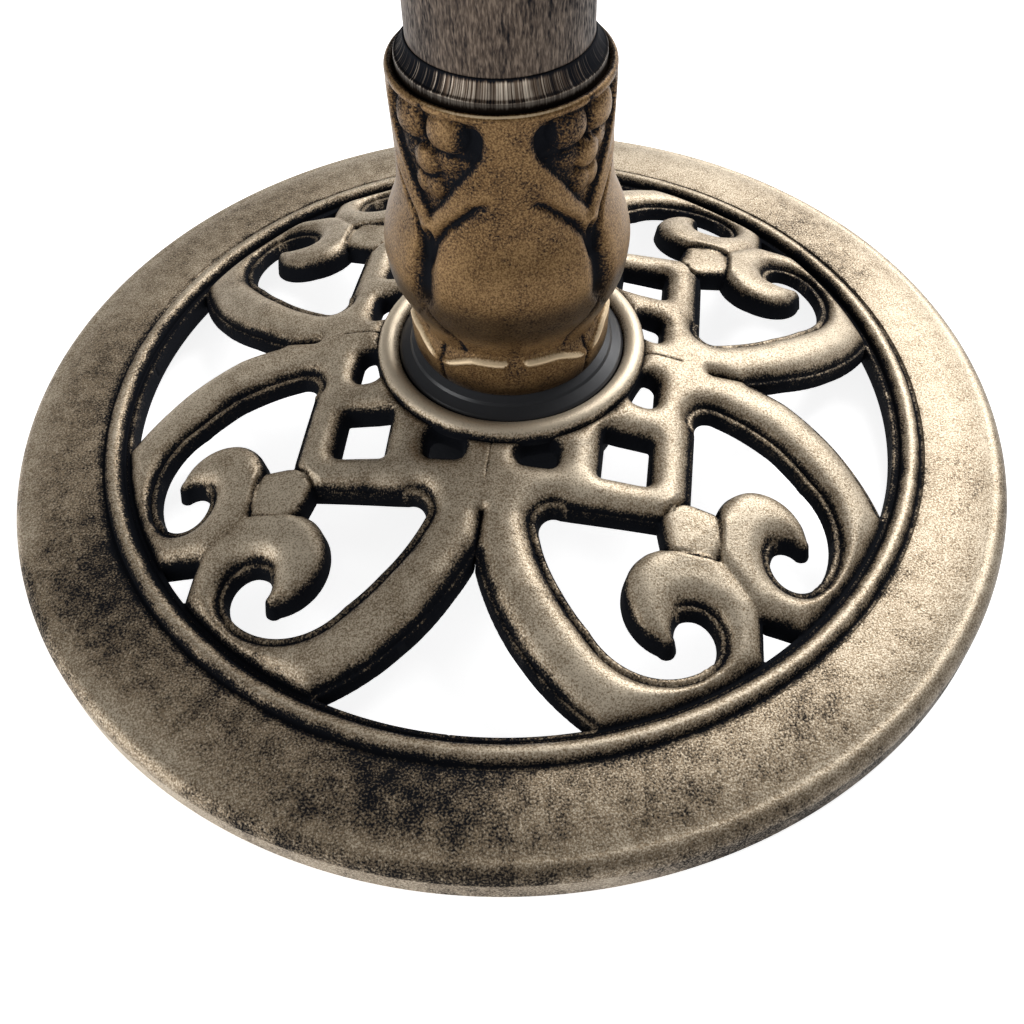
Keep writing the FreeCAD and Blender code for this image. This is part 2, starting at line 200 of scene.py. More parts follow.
# -------- finishes
@dataclass(frozen=True)
class Lacquer:
    """Antique lacquer: a black ground with metal colour brushed and spattered over its high places.

    The piece's wear layer says where; in places it also holds painted highlights and painted shade, and the piece's
    painted shade layer darkens the colour where shade is painted. A piece that has no wear layer takes a constant.
    """

    # cycles a metre
    FLECK_SCALE, SPARK_SCALE, BLOT_SCALE, PATCH_SCALE = 1350.0, 1700.0, 150.0, 19.0
    # radius, in metres, at which the streaks of an upright piece are read
    STREAK_R = 0.034

    name: str
    ground: Colour = (0.008, 0.009, 0.012)
    metal: Colour = (0.27, 0.20, 0.125)
    bright: Colour = (0.70, 0.60, 0.46)
    level: float = 0.0
    fleck: float = 1.7
    blot: float = 0.8
    patch: float = 1.2
    # colour of polished crests and of painted highlights
    polish_and_highlight: Colour = (0.72, 0.61, 0.46)
    metalness: float = 0.6
    gloss: float = 0.33
    roughness: float = 0.47
    streak: tuple[float, float, float] = (1.0, 1.0, 1.0)
    constant: Optional[float] = None
    upright: bool = False

    def make(self) -> bpy.types.Material:
        """Build the material from the piece's own wear and Object coordinates."""
        mat = bpy.data.materials.new(self.name)
        mat.use_nodes = True
        t = mat.node_tree
        n, l = t.nodes, t.links
        shader = n["Principled BSDF"]
        coord = n.new("ShaderNodeTexCoord")
        stretch = n.new("ShaderNodeMapping")
        stretch.inputs["Scale"].default_value = self.streak
        l.new(coord.outputs["Object"], stretch.inputs["Vector"])
        grain = stretch.outputs["Vector"]
        if self.upright:
            # only the azimuth counts, so that each streak follows the section
            for op in ("NORMALIZE", "SCALE"):
                k = n.new("ShaderNodeVectorMath")
                k.operation = op
                if op == "SCALE":
                    k.inputs["Scale"].default_value = self.STREAK_R
                l.new(grain, k.inputs[0])
                grain = k.outputs["Vector"]

        def noise(scale: float, detail: float, vec: Socket) -> Socket:
            """Return a noise value of one scale, in cycles a metre."""
            k = n.new("ShaderNodeTexNoise")
            k.inputs["Scale"].default_value = scale
            k.inputs["Detail"].default_value = detail
            k.inputs["Roughness"].default_value = 0.55
            l.new(vec, k.inputs["Vector"])
            return k.outputs["Fac"]

        def maths(op: str, a: Value, b: Value, c: Optional[Value] = None) -> Socket:
            """Return the result of one Math node."""
            k = n.new("ShaderNodeMath")
            k.operation = op
            for i, v in enumerate((a, b, c)):
                if isinstance(v, Socket):
                    l.new(v, k.inputs[i])
                elif v is not None:
                    k.inputs[i].default_value = v
            return k.outputs[0]

        def ramp(v: Socket, low: float, high: float) -> Socket:
            """Return 0 under low, 1 over high and a smooth step between."""
            k = n.new("ShaderNodeMapRange")
            k.interpolation_type = "SMOOTHSTEP"
            k.inputs["From Min"].default_value = low
            k.inputs["From Max"].default_value = high
            l.new(v, k.inputs["Value"])
            return k.outputs["Result"]

        def mix(f: Socket, a: Union[Socket, Colour], b: Union[Socket, Colour]) -> Socket:
            """Return a colour between a and b."""
            k = n.new("ShaderNodeMix")
            k.data_type = "RGBA"
            l.new(f, k.inputs["Factor"])
            for i, v in ((6, a), (7, b)):
                if isinstance(v, Socket):
                    l.new(v, k.inputs[i])
                else:
                    k.inputs[i].default_value = (*v, 1.0)
            return k.outputs[2]

        def layer(name: str) -> Socket:
            """Return one of the piece's own layers."""
            k = n.new("ShaderNodeAttribute")
            k.attribute_name = name
            return k.outputs["Fac"]

        fleck = noise(self.FLECK_SCALE, 2.5, grain)
        spark = noise(self.SPARK_SCALE, 1.5, grain)
        blot = noise(self.BLOT_SCALE, 3.0, stretch.outputs["Vector"])
        patch = noise(self.PATCH_SCALE, 3.0, coord.outputs["Object"])
        # each noise is added about its middle
        middle = 0.5 * (self.fleck + self.blot + self.patch)
        if self.constant is None:
            wear_and_painted_light = layer("wear_and_painted_light")
            body = maths("ADD", wear_and_painted_light, self.level - middle)
        else:
            body = maths("ADD", self.constant + self.level, -middle)
        body = maths("MULTIPLY_ADD", patch, self.patch, body)
        body = maths("MULTIPLY_ADD", blot, self.blot, body)
        body = maths("MULTIPLY_ADD", fleck, self.fleck, body)
        cover = ramp(body, 0.22, 0.88)
        if self.constant is None:
            cover = maths("MULTIPLY", cover, ramp(wear_and_painted_light, 0.0, 0.24))
        light = ramp(maths("MULTIPLY_ADD", spark, 1.6, maths("MULTIPLY", body, 0.55)), 1.05, 1.75)
        colour = mix(light, self.metal, self.bright)
        if self.constant is None:
            # polished crests, and painted highlights where the wear layer is raised towards 2
            polish_and_highlight_mix = ramp(maths("MULTIPLY_ADD", fleck, 0.9, wear_and_painted_light), 1.5, 2.2)
            colour = mix(polish_and_highlight_mix, colour, self.polish_and_highlight)
        colour = mix(cover, self.ground, colour)
        # painted shade: the painted shade layer darkens the colour towards a tenth of the metal colour
        colour = mix(layer("painted_shade"), colour, tuple(0.10 * c for c in self.metal))
        l.new(colour, shader.inputs["Base Color"])
        l.new(maths("MULTIPLY", cover, self.metalness), shader.inputs["Metallic"])
        rough = maths("MULTIPLY_ADD", blot, 0.16, self.roughness + 0.17)
        l.new(maths("MULTIPLY_ADD", cover, -0.25, rough), shader.inputs["Roughness"])
        l.new(maths("MULTIPLY_ADD", cover, self.gloss, 0.02), shader.inputs["Specular IOR Level"])
        bump = n.new("ShaderNodeBump")
        bump.inputs["Strength"].default_value = 0.35
        bump.inputs["Distance"].default_value = 0.0005
        l.new(maths("MULTIPLY_ADD", blot, 1.2, maths("MULTIPLY", fleck, 0.8)), bump.inputs["Height"])
        l.new(bump.outputs["Normal"], shader.inputs["Normal"])
        return mat


@dataclass(frozen=True)
class Plain:
    """One colour with fine grain in its colour, gloss and surface."""

    name: str
    colour: Colour
    metallic: float = 0.0
    roughness: float = 0.4
    grain: float = 400.0
    depth: float = 0.1
    vary: float = 0.15

    def make(self) -> bpy.types.Material:
        """Build the material on Object coordinates."""
        mat = bpy.data.materials.new(self.name)
        mat.use_nodes = True
        n, l = mat.node_tree.nodes, mat.node_tree.links
        shader = n["Principled BSDF"]
        shader.inputs["Metallic"].default_value = self.metallic
        coord = n.new("ShaderNodeTexCoord")
        k = n.new("ShaderNodeTexNoise")
        k.inputs["Scale"].default_value = self.grain
        k.inputs["Detail"].default_value = 4.0
        l.new(coord.outputs["Object"], k.inputs["Vector"])
        mix = n.new("ShaderNodeMix")
        mix.data_type = "RGBA"
        mix.inputs[6].default_value = (*[c * (1 - self.vary) for c in self.colour], 1.0)
        mix.inputs[7].default_value = (*[min(1.0, c * (1 + self.vary)) for c in self.colour], 1.0)
        l.new(k.outputs["Fac"], mix.inputs["Factor"])
        l.new(mix.outputs[2], shader.inputs["Base Color"])
        r = n.new("ShaderNodeMapRange")
        r.inputs["To Min"].default_value = self.roughness * 0.85
        r.inputs["To Max"].default_value = self.roughness * 1.15
        l.new(k.outputs["Fac"], r.inputs["Value"])
        l.new(r.outputs["Result"], shader.inputs["Roughness"])
        bump = n.new("ShaderNodeBump")
        bump.inputs["Strength"].default_value = self.depth
        bump.inputs["Distance"].default_value = 0.0004
        l.new(k.outputs["Fac"], bump.inputs["Height"])
        l.new(bump.outputs["Normal"], shader.inputs["Normal"])
        return mat


def dress(piece: bpy.types.Object, mat: bpy.types.Material) -> None:
    """Give every face of a piece one material."""
    if not piece.data.materials:
        piece.data.materials.append(mat)
    for i in range(len(piece.material_slots)):
        piece.material_slots[i].link = "OBJECT"
        piece.material_slots[i].material = mat


class Coat(Enum):
    """The choice of finishes, each with its settings."""

    CAST = Lacquer("cast_bronze")
    SLEEVE = Lacquer("sleeve_bronze", metal=(0.118, 0.063, 0.024), bright=(0.30, 0.185, 0.08), level=0.14,
                     polish_and_highlight=(0.80, 0.62, 0.40), fleck=2.1, metalness=0.35, gloss=0.16, roughness=0.40)
    # the collar's bright colour is set high for the painted highlight of its streaks at the front
    COLLAR = Lacquer("collar_bronze", metal=(0.12, 0.078, 0.05), bright=(0.92, 0.80, 0.66), fleck=2.3,
                     streak=(1.0, 1.0, 0.0), metalness=0.5, upright=True)
    TUBE = Lacquer("tube_lacquer", metal=(0.062, 0.041, 0.028), bright=(0.19, 0.142, 0.105), constant=0.72,
                   streak=(1.0, 1.0, 0.22), metalness=0.25, roughness=0.5)
    SEAT = Plain("black_seat", (0.021, 0.022, 0.026), 0.0, 0.36, 300.0, 0.08)
    RUBBER = Plain("rubber", (0.020, 0.020, 0.021), 0.0, 0.75, 500.0, 0.2)
    ZINC = Plain("zinc", (0.55, 0.56, 0.57), 0.95, 0.34, 260.0, 0.1)
    STEEL = Plain("steel", (0.46, 0.46, 0.47), 0.95, 0.42, 260.0, 0.12)
    BLACK_PLASTIC = Plain("black_plastic", (0.022, 0.022, 0.024), 0.0, 0.45, 700.0, 0.12)
    GREY_PLASTIC = Plain("grey_plastic", (0.30, 0.30, 0.31), 0.0, 0.5, 700.0, 0.1)
    NYLON = Plain("nylon", (0.72, 0.71, 0.67), 0.0, 0.45, 500.0, 0.05)
    BRASS = Plain("brass", (0.62, 0.45, 0.18), 0.95, 0.32, 300.0, 0.08)


# the nodes that are shown as they are
SHOWN: dict[Coat, tuple[str, ...]] = {
    Coat.TUBE: ("stand_tube", "clamp_boss"),
    Coat.SEAT: ("sleeve_seat",),
    Coat.RUBBER: ("foot_pads",),
    Coat.ZINC: ("centre_bolt", "bolt_washer", "spring_washer", "clamp_stud"),
    Coat.STEEL: ("tube_foot_plug",),
    Coat.BLACK_PLASTIC: ("tube_cap", "knob_head", "knob_cap", "pole_guide"),
    Coat.GREY_PLASTIC: ("pole_seat_cup", "pole_reducer"),
    Coat.NYLON: ("thrust_pad",),
    Coat.BRASS: ("knob_insert",),
}


def finish_nodes(nodes: dict[str, bpy.types.Object]) -> None:
    """Make each shown node's finish and give it to the node.

    Args:
        nodes: the frame's nodes by name.
    """
    for coat, names in SHOWN.items():
        mat = coat.value.make()
        for name in names:
            if name in nodes:
                dress(nodes[name], mat)


# -------- the casting
@dataclass
class CastBase:
    """The one-piece casting: rim, four openwork panels, and hub, in millimetres."""

    lift: float
    rim_r: float
    pattern_turn: float = -9.4
    rim_in_r: float = 154.0
    hub_r: float = 51.3
    band_out: float = 103.5
    band_in: float = 82.5
    bar_in: float = 56.0
    bar_out: float = 35.0
    block_half: float = 9.5
    cell: float = 0.62
    wall: float = 5.0
    flare: float = 1.0
    crown: float = 5.4
    crown_w: float = 8.8
    dome: tuple[Point, ...] = ((0.0, 46.5), (50.0, 46.5), (60.0, 42.6), (80.0, 37.2), (92.0, 35.3), (109.0, 32.3),
                               (130.0, 25.6), (154.0, 16.8), (300.0, 16.8))

    # the opening inside the heart scroll, as steps from one of its corners to the next
    PETAL = ((68.1, 37.2, 72.2, 43.8), (90.0, 50.4, 112.0, 52.3), (135.2, 45.0, 144.3, 27.0))
    BAY = ((134.8, 15.3, 125.0, 23.2),)
    LOBE = ((127.0, 28.0, 131.2, 30.4), (132.6, 33.0, 129.8, 35.6), (120.5, 38.6, 111.0, 36.0),
            (103.2, 25.0, 105.3, 12.2))
    # reach, in grid cells, within which a point is moved onto an edge
    SNAP = 0.52

    def height(self, r: np.ndarray) -> np.ndarray:
        """Return the ledge height of the openwork at a radius."""
        d = np.array(self.dome)
        return np.interp(r, d[:, 0], d[:, 1]) + self.lift

    def outlines(self) -> dict[str, np.ndarray]:
        """Return the dense outlines of the openings that touch one half panel."""
        o = self.band_out
        heart = trace((96.5, o - 96.5), [(71.3, o - 71.3), *self.PETAL, *self.BAY, *self.LOBE])
        a = math.radians(27.2)
        p = (self.rim_in_r * math.cos(a), self.rim_in_r * math.sin(a))
        m = self.rim_in_r * math.sqrt(0.5)
        spandrel = trace((66.5, 66.5), [(102.0, 75.8, *p), (m, m, p[1], p[0]), (75.8, 102.0, 66.5, 66.5)])
        ty = 9.0
        tx = math.sqrt(self.rim_in_r ** 2 - ty * ty)
        corner = trace((143.5, 0.0), [(149.6, 5.4, tx, ty), (self.rim_in_r, 0.0, tx, -ty),
                                      (149.6, -5.4, 143.5, 0.0)])
        h = (self.band_in - self.bar_in) / 2
        square = self.soft_corners([(self.band_in, 0.0), (self.band_in - h, h), (self.bar_in, 0.0),
                                    (self.band_in - h, -h)], 1.5)
        return {"heart": heart, "spandrel": spandrel, "corner": corner, "square": square, "dee": self.dee()}

    def dee(self) -> np.ndarray:
        """Return the outline of the rounded hole between hub, band, bar and node block."""
        b = self.block_half * math.sqrt(2.0)
        r = self.hub_r + 1.4

        def on_hub(d: float) -> Point:
            """Return the point of the hub circle where x - y is d."""
            y = (-d + math.sqrt(2 * r * r - d * d)) / 2
            return (y + d, y)

        s = self.band_in
        return self.soft_corners([on_hub(self.bar_out), ((s + self.bar_out) / 2, (s - self.bar_out) / 2),
                                  ((s + b) / 2, (s - b) / 2), on_hub(b)], 3.6)

    @staticmethod
    def soft_corners(pts: Sequence[Point], r: float) -> np.ndarray:
        """Return a polygon with every corner rounded by r."""
        start, steps = None, []
        n = len(pts)
        for i in range(n):
            c = np.array(pts[i])
            a = np.array(pts[i - 1]) - c
            b = np.array(pts[(i + 1) % n]) - c
            a, b = a / np.linalg.norm(a), b / np.linalg.norm(b)
            half = math.acos(float(np.clip(a @ b, -1, 1))) / 2
            p, q = c + a * r / math.tan(half), c + b * r / math.tan(half)
            m = c + (a + b) / np.linalg.norm(a + b) * (r / math.sin(half) - r)
            if start is None:
                start = tuple(p)
            else:
                steps.append(tuple(p))
            steps.append((*m, *q))
        return trace(start, steps)

    @staticmethod
    def soft_distance(x: np.ndarray, curves: Iterable[np.ndarray]) -> np.ndarray:
        """Return a distance to curves that rounds off where two of them are equally near.

        Args:
            x: points of shape (n, 2).
            curves: dense polylines.
        """
        total = np.full(len(x), 1e-12)
        for c in curves:
            m = (c[1:] + c[:-1]) / 2
            ds = np.linalg.norm(c[1:] - c[:-1], axis=1)
            for i in range(0, len(x), 4000):
                d2 = ((x[i:i + 4000, None, :] - m[None]) ** 2).sum(2) + 0.01
                total[i:i + 4000] += (2 / math.pi) * (ds[None] / d2 ** 2).sum(1)
        return total ** (-1.0 / 3.0)

    @staticmethod
    def nearest(x: np.ndarray, c: np.ndarray) -> tuple[np.ndarray, np.ndarray]:
        """Return each point's distance to a polyline and its nearest point on it."""
        a, b = c[:-1], c[1:]
        ab = b - a
        l2 = (ab ** 2).sum(1) + 1e-12
        dist = np.full(len(x), 1e9)
        foot = np.zeros_like(x)
        for i in range(0, len(x), 3000):
            p = x[i:i + 3000]
            t = np.clip(((p[:, None] - a[None]) * ab[None]).sum(2) / l2[None], 0, 1)
            f = a[None] + t[..., None] * ab[None]
            d = np.linalg.norm(p[:, None] - f, axis=2)
            k = d.argmin(1)
            dist[i:i + 3000] = d[np.arange(len(p)), k]
            foot[i:i + 3000] = f[np.arange(len(p)), k]
        return dist, foot

    @staticmethod
    def inside(x: np.ndarray, poly: np.ndarray) -> np.ndarray:
        """Return whether each point lies inside a closed polyline."""
        hit = np.zeros(len(x), bool)
        a, b = poly[:-1], poly[1:]
        for i in range(0, len(x), 4000):
            p = x[i:i + 4000]
            up = (a[None, :, 1] > p[:, None, 1]) != (b[None, :, 1] > p[:, None, 1])
            run, rise = (b[:, 0] - a[:, 0])[None], (b[:, 1] - a[:, 1])[None]
            with np.errstate(divide="ignore", invalid="ignore"):
                xi = run * (p[:, None, 1] - a[None, :, 1]) / rise + a[None, :, 0]
            hit[i:i + 4000] = (up & (p[:, None, 0] < xi)).sum(1) % 2 == 1
        return hit

    def edges(self) -> list[tuple[np.ndarray, float, float]]:
        """Return the edges that shape the crowns of the upper half panel.

        Returns:
            For each edge its curve, the width of the flat ledge beside it, and the rise of the ledge's lip.
        """
        o = self.band_out
        holes = self.outlines()
        flip = np.array([1.0, -1.0])
        band = trace((96.5, o - 96.5), [(71.3, o - 71.3)], closed=False)
        petal = trace((71.3, o - 71.3), self.PETAL, closed=False)
        bay = trace(self.PETAL[-1][2:], self.BAY, closed=False)
        lobe = trace(self.BAY[-1][2:], self.LOBE, closed=False)
        bud = trace(self.LOBE[-1][2:], [(96.5, o - 96.5)], closed=False)
        out = []
        for c, ledge, lip in ((band, 0.9, 0.2), (petal, 2.7, 0.75), (bay, 2.2, 0.6), (lobe, 0.0, 0.0),
                              (bud, 0.2, 0.0)):
            out += [(c, ledge, lip), (c * flip, ledge, lip), (c[:, ::-1], ledge, lip)]
        out += [(holes["spandrel"], 1.5, 0.3), (holes["corner"], 0.3, 0.0), (holes["square"], 0.3, 0.0)]
        for c in (holes["dee"], holes["dee"] * flip, holes["dee"][:, ::-1]):
            out.append((c, 0.2, 0.0))
        return out

    def crown_height(self, x: np.ndarray) -> tuple[np.ndarray, np.ndarray]:
        """Return the crown over the ledge, and the wear, in the upper half panel.

        Args:
            x: points of shape (n, 2), with y at or over 0.
        """
        r = np.linalg.norm(x, axis=1)
        total = np.zeros(len(x))
        lips = np.zeros(len(x))
        shelf = np.zeros(len(x))
        for c, ledge, lip in self.edges():
            lo, hi = c.min(0) - 14, c.max(0) + 14
            m = ((x > lo) & (x < hi)).all(1)
            d = self.soft_distance(x[m], [c])
            total[m] += np.maximum(d - ledge, 0.02) ** -3.0
            if ledge > 0.5:
                near, _ = self.nearest(x[m], c)
                u = np.clip(near / ledge, 0, 1)
                lips[m] = np.maximum(lips[m], lip * np.sin(math.pi * u) ** 0.8)
                s = np.clip((ledge + 0.3 - near) / 1.1, 0, 1)
                shelf[m] = np.maximum(shelf[m], s * s * (3 - 2 * s))
        total += np.maximum(self.rim_in_r + 0.4 - r, 0.05) ** -3.0
        total += np.maximum(r - self.hub_r - 0.2, 0.05) ** -3.0
        vee = trace((55.5, 55.5), [(67.5, 67.5)], closed=False)
        total += np.maximum(self.soft_distance(x, [vee]) * 1.25, 0.05) ** -3.0
        e = total ** (-1.0 / 3.0)
        # a wide bar has a higher crown than a narrow one
        big = np.clip((r - 96.0) / 10.0, 0, 1)
        t = np.clip(e / self.crown_w, 0, 1)
        crown = (self.crown + 0.5 * big) * (1 - (1 - t) ** 2) ** 0.63
        wear_and_painted_light = np.interp(e, [0.0, 0.5, 1.9, 4.5], [0.0, 0.16, 0.78, 1.12])
        wear_and_painted_light = wear_and_painted_light * (1 - shelf) + shelf * 0.55 * np.clip(lips / 0.4, 0.25, 1)
        arcx = np.interp(np.abs(x[:, 1]), [0.0, 2.0, 4.5, 7.2, 10.0, 12.6],
                         [119.5, 117.6, 115.3, 113.0, 110.0, 105.9])
        bud = np.clip((arcx - x[:, 0]) / 1.6, 0, 1) * (x.sum(1) > self.band_out - 7.0)
        bud *= (np.abs(x[:, 1]) < 12.6) & (x[:, 0] > 93.0)
        crown = crown * (1 - bud) + 3.7 * (1 - np.exp(-crown / 2.2)) * bud

        def crease(c: np.ndarray, depth: float, width: float, dark: float = 0.8) -> None:
            """Press a narrow valley along a line."""
            nonlocal crown, wear_and_painted_light
            d, _ = self.nearest(x, c)
            crown -= depth * np.exp(-(d / width) ** 2)
            wear_and_painted_light -= dark * np.exp(-(d / (width * 0.9)) ** 2)

        crease(trace((105.9, 12.6), [(113.0, 7.2, 119.5, 0.0)], closed=False), 2.0, 0.9)
        crease(trace((96.8, 7.6), [(95.1, 4.2, 94.7, 0.0)], closed=False), 2.2, 0.9)
        crease(trace((119.5, 0.0), [(144.0, 0.0)], closed=False), 1.3, 2.4, 0.25)
        crease(trace((36.6, 36.6), [(47.5, 47.5)], closed=False), 0.5, 0.45, 0.6)
        return np.maximum(crown, 0.0) + lips, wear_and_painted_light

    def half(self) -> dict[str, np.ndarray]:
        """Work out the upper half of a panel once: its points, faces, push of the walls and wear."""
        holes = self.outlines()
        c = self.cell
        x0, x1, y1 = 35.4, 156.6, 111.6
        nx, ny = int(round((x1 - x0) / c)), int(round(y1 / c))
        gx, gy = np.meshgrid(x0 + np.arange(nx + 1) * c, np.arange(ny + 1) * c, indexing="ij")
        p = np.stack([gx.ravel(), gy.ravel()], 1)
        r = np.maximum(np.linalg.norm(p, axis=1), 1e-6)
        r_in, r_out = self.hub_r - 1.2, self.rim_in_r + 1.6
        gap = np.full(len(p), 1e9)
        foot = p.copy()
        for o in holes.values():
            lo, hi = o.min(0) - 9, o.max(0) + 9
            m = np.where(((p > lo) & (p < hi)).all(1))[0]
            d, f = self.nearest(p[m], o)
            d = np.where(self.inside(p[m], o), -d, d)
            k = d < gap[m]
            gap[m[k]], foot[m[k]] = d[k], f[k]
        field = np.minimum(gap, 8.0).reshape(gx.shape)
        slope = np.stack([g.ravel() for g in np.gradient(field, c)], 1)
        slope /= np.maximum(np.linalg.norm(slope, axis=1), 1e-6)[:, None]
        best = gap.copy()
        for d, f in ((r_out - r, p / r[:, None] * r_out), (r - r_in, p / r[:, None] * r_in),
                     ((p[:, 0] - p[:, 1]) / math.sqrt(2.0), (p.sum(1) / 2)[:, None] * np.ones((1, 2)))):
            m = d < best
            best[m], foot[m] = d[m], f[m]
        near = np.abs(best) < self.SNAP * c
        q = np.where(near[:, None], foot, p)
        q[gy.ravel() == 0, 1] = 0.0
        keep = ((best >= 0) | near).reshape(gx.shape)
        idx = np.arange(len(p)).reshape(gx.shape)
        quads = np.stack([idx[:-1, :-1], idx[1:, :-1], idx[1:, 1:], idx[:-1, 1:]], -1)
        flags = np.stack([keep[:-1, :-1], keep[1:, :-1], keep[1:, 1:], keep[:-1, 1:]], -1)
        faces = quads[flags.sum(-1) == 4].tolist()
        for i, j in np.argwhere(flags.sum(-1) == 3):
            faces.append([int(v) for v, on in zip(quads[i, j], flags[i, j]) if on])
        used = np.unique([v for f in faces for v in f])
        order = -np.ones(len(p), int)
        order[used] = np.arange(len(used))
        q = q[used]
        crown, wear_and_painted_light = self.crown_height(q)
        # the walls lean out from the ledge to the underside
        push = -slope[used] * (np.clip(1 - gap[used] / 3.0, 0, 1) * self.flare)[:, None]
        rq = np.linalg.norm(q, axis=1)
        fade = np.clip((q[:, 0] - q[:, 1]) / 1.5, 0, 1) * np.clip((self.rim_in_r + 1.0 - rq) / 2, 0, 1)
        push *= (fade * np.clip((rq - self.hub_r + 0.5) / 1.5, 0, 1))[:, None]
        push[:, 1] *= np.clip(q[:, 1] / 1.0, 0, 1)
        return {"q": q, "crown": crown, "wear_and_painted_light": wear_and_painted_light, "push": push,
                "faces": np.array([[order[v] for v in (f if len(f) == 4 else f + [f[-1]])] for f in faces])}

    def panel(self, index: int, half: dict[str, np.ndarray], mat: bpy.types.Material) -> bpy.types.Object:
        """Model one quarter of the openwork.

        Args:
            index: which quarter, from 0 to 3.
            half: the points and faces of its upper half.
            mat: its finish.

        Returns:
            The closed mesh, at its place.
        """
        q, n = half["q"], len(half["q"])
        z = self.height(np.linalg.norm(q, axis=1))
        top = np.column_stack([q, z + half["crown"]])
        flip = np.array([1.0, -1.0, 1.0])
        co = np.vstack([top, top * flip])
        faces = []
        for f in half["faces"].tolist():
            g = [v for i, v in enumerate(f) if v != f[i - 1]]
            faces += [g, [v + n for v in reversed(g)]]
        mesh = bpy.data.meshes.new("casting_panel_%d" % (index + 1))
        mesh.from_pydata((co * MM).tolist(), [], faces)
        piece = bpy.data.objects.new(mesh.name, mesh)
        bpy.context.scene.collection.objects.link(piece)
        set_layer(piece, "wear_and_painted_light", np.tile(half["wear_and_painted_light"], 2))
        pid = mesh.attributes.new("pid", "INT", "POINT")
        pid.data.foreach_set("value", np.arange(2 * n, dtype=np.int32))
        activate(piece)
        bpy.ops.object.mode_set(mode="EDIT")
        bpy.ops.mesh.select_all(action="SELECT")
        bpy.ops.mesh.remove_doubles(threshold=2e-5)
        bpy.ops.mesh.normals_make_consistent(inside=False)
        bpy.ops.mesh.extrude_region_move(TRANSFORM_OT_translate={"value": (0, 0, -30 * MM)})
        bpy.ops.object.mode_set(mode="OBJECT")
        # lay the lower copy along the dome, with the walls leaning out
        co = read_points(piece)
        ids = np.zeros(len(co), np.int32)
        piece.data.attributes["pid"].data.foreach_get("value", ids)
        home = np.vstack([top, top * flip])[ids]
        low = co[:, 2] < home[:, 2] * MM - 0.015
        push = np.vstack([half["push"], half["push"] * flip[:2]])[ids]
        base = np.concatenate([z, z])[ids] - self.wall
        co[low, :2] = (home[low, :2] + push[low]) * MM
        co[low, 2] = base[low] * MM
        write_points(piece, co)
        wear_and_painted_light = np.concatenate([half["wear_and_painted_light"], half["wear_and_painted_light"]])[ids]
        set_layer(piece, "wear_and_painted_light", np.where(low, 0.0, wear_and_painted_light))
        piece.data.attributes.remove(piece.data.attributes["pid"])
        outward(piece)
        turn = math.radians(45.0 + self.pattern_turn + 90.0 * index)
        piece.data.transform(Matrix.Rotation(turn, 4, "Z"))
        smooth(piece, 52.0)
        dress(piece, mat)
        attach(piece, "stand")
        return piece

    def rim(self, mat: bpy.types.Material) -> bpy.types.Object:
        """Spin the rim: skirt, rounded edge, sloping top, bead and inner lip."""
        z, ri, ro = self.lift, self.rim_in_r, self.rim_r
        pts: list[Point] = [(ri, z + 8.5), (ri, z + 16.2)]
        pts += arc(pts[-1], (ri + 0.4, z + 16.9), (ri + 1.2, z + 17.0), 0.25)
        pts += [(ri + 2.0, z + 16.9)]
        pts += arc(pts[-1], (ri + 2.5, z + 16.75), (ri + 3.0, z + 17.3), 0.2)
        pts += arc(pts[-1], (ri + 6.6, z + 20.9), (ri + 10.1, z + 17.9), 0.35)
        pts += arc(pts[-1], (ri + 11.0, z + 17.2), (ri + 12.4, z + 18.0), 0.3)
        pts += arc(pts[-1], (ri + 26.0, z + 17.8), (ro - 6.3, z + 14.8), 1.5)
        pts += arc(pts[-1], (ro - 6.3 + 6.3 * 0.7071, z + 8.5 + 6.3 * 0.7071), (ro, z + 8.5), 0.5)
        pts += line(pts[-1], (ro, z + 0.8), 2.0) + [(ro - 0.8, z)]
        pts += [(ro - 28.0, z), (ri + 4.0, z + 7.0)]
        piece = lathe("casting_rim", pts, 384)
        co = read_points(piece) / MM
        r = np.hypot(co[:, 0], co[:, 1])
        top = co[:, 2] - z
        az = np.arctan2(co[:, 1], co[:, 0])
        wear_and_painted_light = np.interp(r, [ri, ri + 0.8, ri + 2.0, ri + 3.0, ri + 4.5, ri + 6.6, ri + 8.6, ri + 10.6, ri + 13.0,
                             ro - 12, ro - 5.5, ro - 3, ro],
                         [0.1, 0.4, 0.15, 0.0, 0.6, 1.2, 0.6, 0.0, 0.76, 0.84, 1.15, 0.9, 0.8])
        # painted light on the rim's top: lighter towards the key light at the back right, and painted shade at the
        # front
        front_lighting = np.exp(-((np.degrees(az) + 96.0) / 15.0) ** 2)
        wear_and_painted_light = np.where(r > ri + 12.0, wear_and_painted_light + 0.16 * np.cos(az - math.radians(40.0)) - 0.34 * front_lighting, wear_and_painted_light)
        # painted light and shade on the skirt: lighter on the left, darker on the right
        side = 0.72 - 0.40 * np.cos(az)
        # painted shade on the outer rounding, strongest at the front right and falling to none on the left
        rim_side_shade = 0.12 + 0.48 * np.cos(az + math.radians(25.0))
        set_layer(piece, "painted_shade", np.interp(r, [ro - 5.0, ro - 0.8], [0.0, 1.0]) * rim_side_shade)
        wear_and_painted_light = np.where(top < 9.0, np.where(r > ro - 2, side, 0.0), wear_and_painted_light)
        set_layer(piece, "wear_and_painted_light", wear_and_painted_light)
        smooth(piece, 40.0)
        dress(piece, mat)
        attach(piece, "stand")
        return piece

